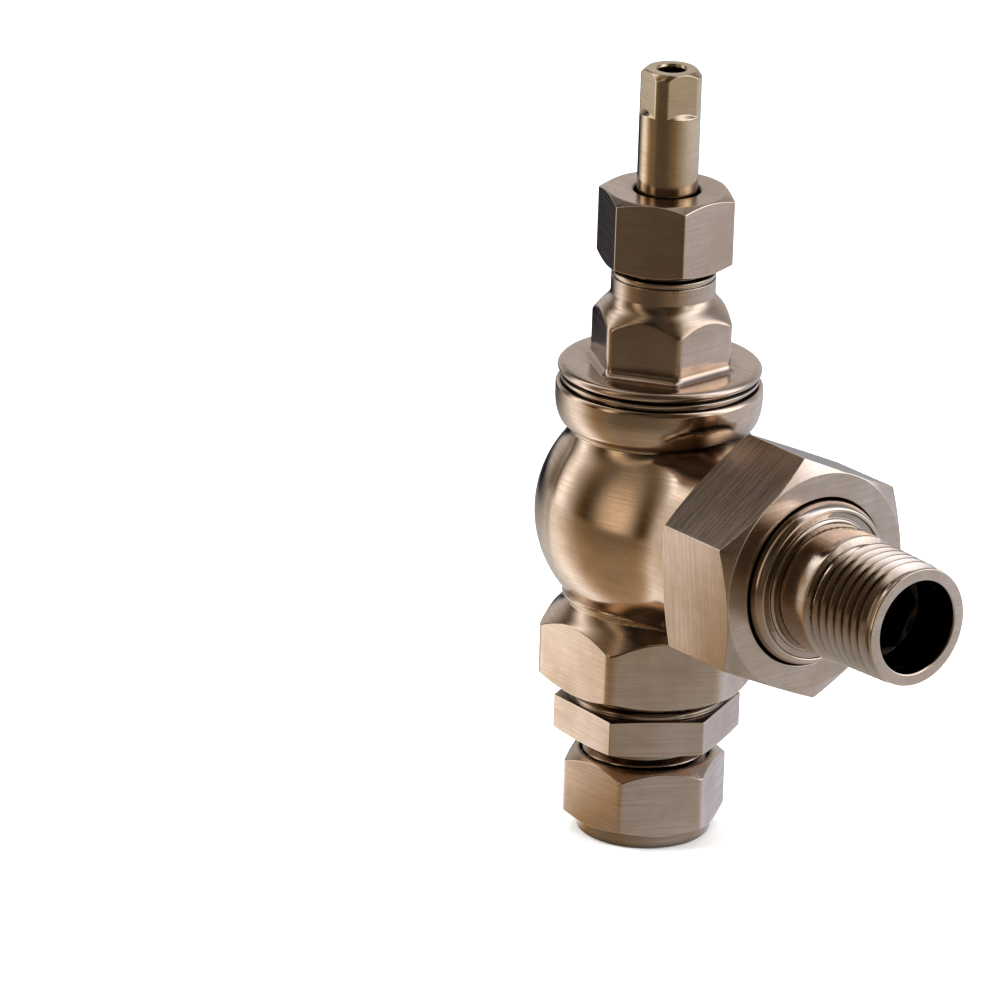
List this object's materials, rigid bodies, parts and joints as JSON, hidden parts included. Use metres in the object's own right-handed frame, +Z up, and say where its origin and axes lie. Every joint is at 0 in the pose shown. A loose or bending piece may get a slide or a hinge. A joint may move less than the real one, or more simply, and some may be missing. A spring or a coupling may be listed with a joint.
{
  "type": "angled lockshield radiator valve",
  "caption": "Angled radiator valve with squared spindle, gland, bonnet, union nut and threaded tail, over a compression pipe inlet.",
  "frame": {"origin": "on the inlet and spindle axis, at the mouth of the compression nut where the pipe enters", "axes": "+Z up along the spindle, +X out of the outlet towards the radiator, outlet axis 56 mm above the origin"},
  "size_m": [0.0857, 0.0398, 0.132],
  "materials": {
    "antique_brass": "brushed antique bronze plating, satin, gold at the worn edges",
    "spindle_brass": "brushed antique brass, a little lighter",
    "bare_brass": "plain turned brass",
    "rubber": "matte black",
    "packing": "off-white fibre"
  },
  "bodies": {
    "body": {"valve_body": "antique_brass", "bonnet": "antique_brass", "bonnet_washer": "bare_brass", "pipe_adaptor": "antique_brass", "adaptor_o_ring": "rubber", "packing_washer": "bare_brass", "gland_packing_lower": "packing", "gland_packing_upper": "packing"},
    "plug": {"plug_holder": "bare_brass", "seat_washer": "rubber", "seat_washer_plate": "bare_brass", "seat_washer_screw": "bare_brass"},
    "stem": {"spindle": "spindle_brass", "spindle_clip": "bare_brass"},
    "gland": {"gland_follower": "bare_brass"},
    "gland_nut_body": {"gland_nut": "antique_brass"},
    "tail": {"radiator_tail": "antique_brass", "tail_o_ring": "rubber"},
    "union_nut_body": {"union_nut": "antique_brass"},
    "ferrule": {"olive": "bare_brass"},
    "inlet_nut_body": {"compression_nut": "antique_brass"}
  },
  "joints": [
    {"name": "plug_lift", "type": "slide", "parent": "body", "child": "plug", "axis": [0, 0, 1], "range_m": [-0.003, 0.003]},
    {"name": "spindle_turn", "type": "hinge", "parent": "plug", "child": "stem", "pos_m": [0, 0, 0.12], "axis": [0, 0, 1], "range_deg": [-540, 540]},
    {"name": "gland_lift", "type": "slide", "parent": "body", "child": "gland", "axis": [0, 0, 1], "range_m": [0, 0.00401]},
    {"name": "gland_nut_turn", "type": "hinge", "parent": "gland", "child": "gland_nut_body", "pos_m": [0, 0, 0.105], "axis": [0, 0, 1], "range_deg": [0, 1080]},
    {"name": "tail_draw", "type": "slide", "parent": "body", "child": "tail", "axis": [1, 0, 0], "range_m": [0, 0.00924]},
    {"name": "union_nut_turn", "type": "hinge", "parent": "tail", "child": "union_nut_body", "pos_m": [0.0325, 0, 0.056], "axis": [1, 0, 0], "range_deg": [0, 1440]},
    {"name": "olive_drop", "type": "slide", "parent": "body", "child": "ferrule", "axis": [0, 0, -1], "range_m": [0, 0.00544]},
    {"name": "compression_nut_turn", "type": "hinge", "parent": "ferrule", "child": "inlet_nut_body", "pos_m": [0, 0, 0.007], "axis": [0, 0, -1], "range_deg": [0, 1080]}
  ],
  "couplings": [
    {"joint": "spindle_turn", "follows": "plug_lift", "rad_per_m": 3141.6},
    {"joint": "gland_nut_turn", "follows": "gland_lift", "rad_per_m": 4699.5},
    {"joint": "union_nut_turn", "follows": "tail_draw", "rad_per_m": 2721.2},
    {"joint": "compression_nut_turn", "follows": "olive_drop", "rad_per_m": 3463.7}
  ]
}
